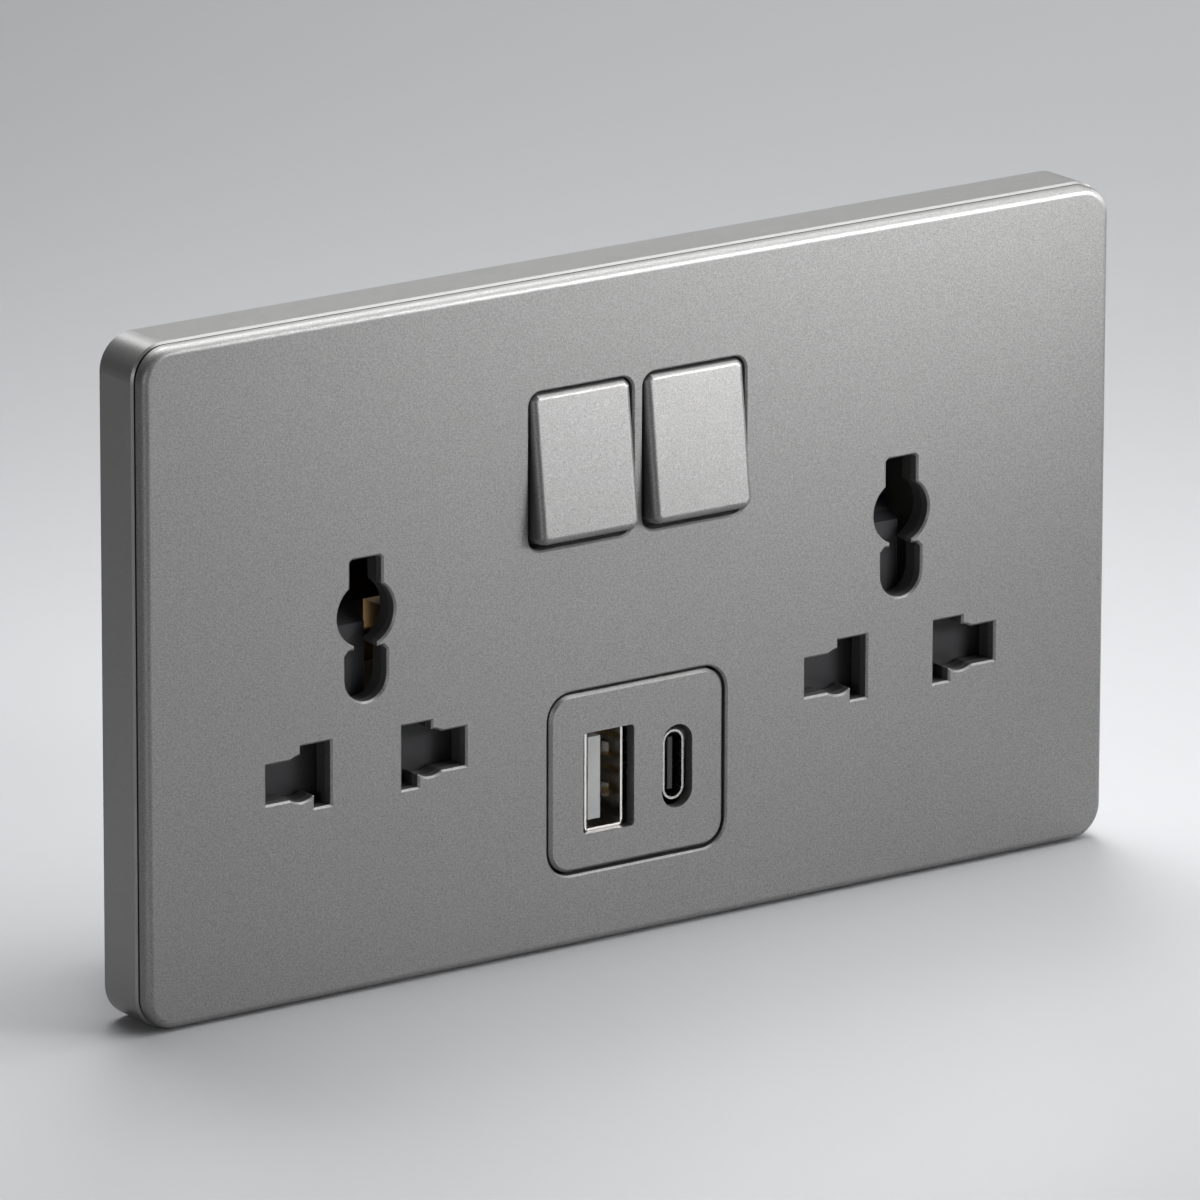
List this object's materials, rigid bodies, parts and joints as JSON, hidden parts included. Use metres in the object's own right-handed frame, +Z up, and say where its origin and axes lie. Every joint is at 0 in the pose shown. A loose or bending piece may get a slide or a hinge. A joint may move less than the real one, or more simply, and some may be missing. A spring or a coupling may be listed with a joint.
{
  "type": "usb wall socket",
  "caption": "Double switched multi-standard wall socket with USB-A and USB-C charging ports, clip-on satin grey fascia, shuttered pin holes and rear terminals.",
  "frame": {"origin": "middle of the plate's rear edge plane, on the wall surface", "axes": "+X along the plate to the right as seen from the front, +Y back into the wall, +Z up"},
  "size_m": [0.146, 0.033, 0.086],
  "materials": {
    "painted_plastic": "satin metallic grey paint",
    "frame_plastic": "satin grey paint",
    "dark_plastic": "matt charcoal",
    "housing_plastic": "matt light grey",
    "brass": "stamped",
    "steel": "zinc plated",
    "shell_steel": "bright nickel",
    "light_plastic": "moulded",
    "black_plastic": "moulded",
    "board": "solder mask",
    "winding": "taped core"
  },
  "bodies": {
    "socket": {"fascia": "painted_plastic", "mounting_frame": "frame_plastic", "socket_front": "dark_plastic", "rear_housing": "housing_plastic", "live_clip_right": "brass", "live_clip_left": "brass", "neutral_bar": "brass", "earth_bar": "brass", "live_bar": "brass", "live_terminal": "brass", "neutral_terminal": "brass", "earth_terminal_left": "brass", "earth_terminal_right": "brass", "housing_screws": "steel", "terminal_screws": "steel", "shutter_spring_right": "steel", "shutter_spring_left": "steel", "usb_bezel": "painted_plastic", "usb_a_shell": "shell_steel", "usb_a_tongue": "light_plastic", "usb_a_contacts": "brass", "usb_c_shell": "shell_steel", "usb_c_tongue": "black_plastic", "usb_circuit_board": "board", "usb_transformer": "winding", "usb_capacitors": "black_plastic", "usb_feed_pins": "brass"},
    "switch_right": {"rocker_right": "painted_plastic"},
    "striker_right": {"plunger_right": "black_plastic"},
    "contact_right": {"contact_arm_right": "brass"},
    "guard_right": {"shutter_right": "dark_plastic"},
    "switch_left": {"rocker_left": "painted_plastic"},
    "striker_left": {"plunger_left": "black_plastic"},
    "contact_left": {"contact_arm_left": "brass"},
    "guard_left": {"shutter_left": "dark_plastic"}
  },
  "joints": [
    {"name": "switch_right_rock", "type": "hinge", "parent": "socket", "child": "switch_right", "pos_m": [0.00855, -0.006, 0.0189], "axis": [1, 0, 0], "range_deg": [0, 14]},
    {"name": "striker_right_slide", "type": "slide", "parent": "switch_right", "child": "striker_right", "axis": [0, -0.9925, 0.1219], "range_m": [0, 0.0008], "stiffness_N_per_m": 250, "springref_m": -0.001},
    {"name": "contact_right_rock", "type": "hinge", "parent": "socket", "child": "contact_right", "pos_m": [0.00855, 0.009, 0.0189], "axis": [1, 0, 0], "range_deg": [-16, 0]},
    {"name": "guard_right_slide", "type": "slide", "parent": "socket", "child": "guard_right", "axis": [0, 0, -1], "range_m": [0, 0.0086], "stiffness_N_per_m": 60, "springref_m": -0.003, "deforming": ["shutter_spring_right"]},
    {"name": "switch_left_rock", "type": "hinge", "parent": "socket", "child": "switch_left", "pos_m": [-0.00855, -0.006, 0.0189], "axis": [1, 0, 0], "range_deg": [0, 14]},
    {"name": "striker_left_slide", "type": "slide", "parent": "switch_left", "child": "striker_left", "axis": [0, -0.9925, 0.1219], "range_m": [0, 0.0008], "stiffness_N_per_m": 250, "springref_m": -0.001},
    {"name": "contact_left_rock", "type": "hinge", "parent": "socket", "child": "contact_left", "pos_m": [-0.00855, 0.009, 0.0189], "axis": [1, 0, 0], "range_deg": [-16, 0]},
    {"name": "guard_left_slide", "type": "slide", "parent": "socket", "child": "guard_left", "axis": [0, 0, -1], "range_m": [0, 0.0086], "stiffness_N_per_m": 60, "springref_m": -0.003, "deforming": ["shutter_spring_left"]}
  ],
  "couplings": [
    {"joint": "contact_right_rock", "follows": "switch_right_rock", "ratio": -1.1428},
    {"joint": "contact_left_rock", "follows": "switch_left_rock", "ratio": -1.1428}
  ]
}
